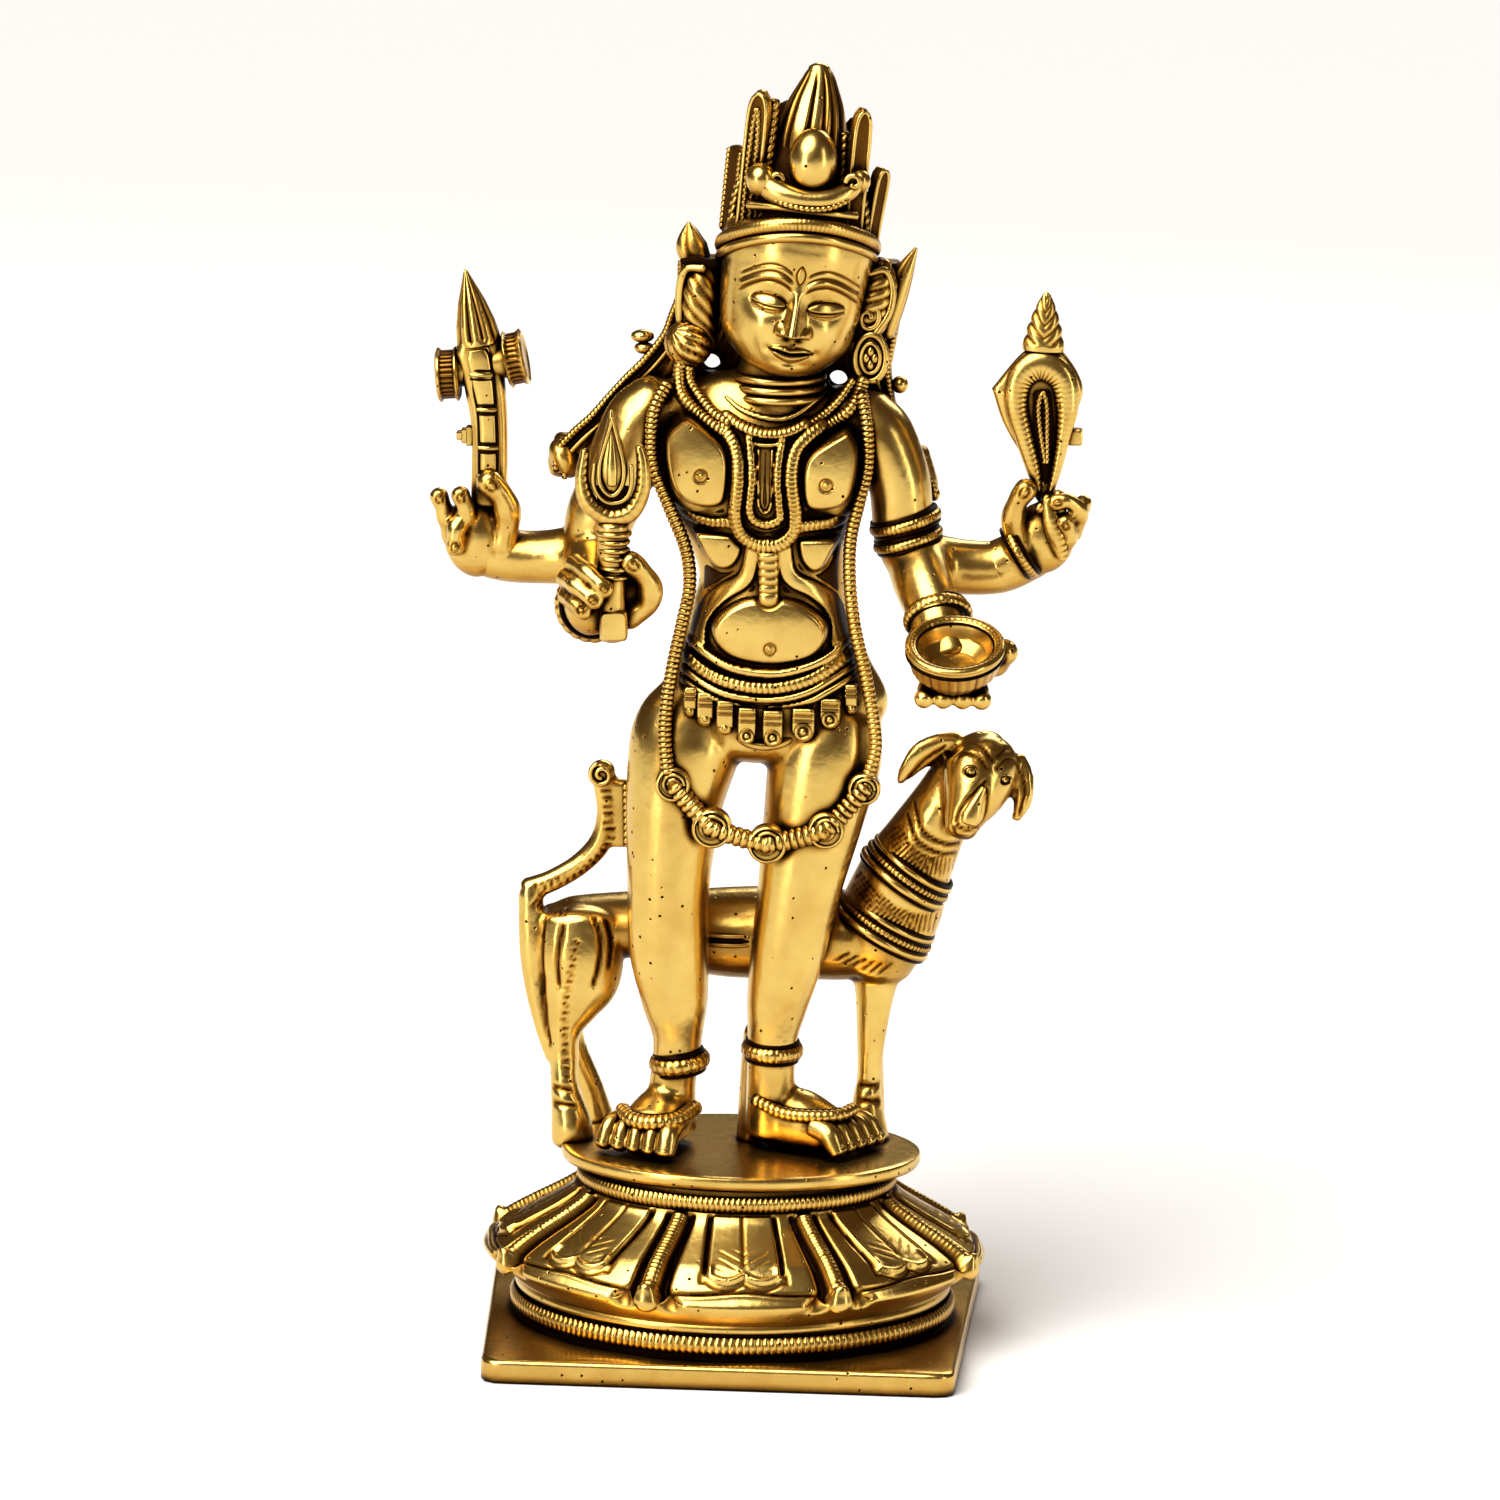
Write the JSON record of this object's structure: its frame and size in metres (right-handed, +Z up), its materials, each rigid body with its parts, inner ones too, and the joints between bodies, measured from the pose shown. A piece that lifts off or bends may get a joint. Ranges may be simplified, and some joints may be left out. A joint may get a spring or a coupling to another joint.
{
  "type": "brass temple figure",
  "caption": "Cast brass figure of a standing four-armed guardian deity with a dog behind the legs, on a separate oval lotus pedestal with a rectangular plinth, for a shrine or shelf.",
  "frame": {"origin": "middle of the plinth's flat underside", "axes": "+Z up, the figure faces -Y, +X to the viewer's right"},
  "size_m": [0.1296, 0.084, 0.2537],
  "materials": {
    "cast_brass": "polished high points, dark brown patina in the recesses, small casting pits"
  },
  "bodies": {
    "root": {"deity_and_dog": "cast_brass", "lotus_pedestal": "cast_brass"}
  },
  "joints": []
}
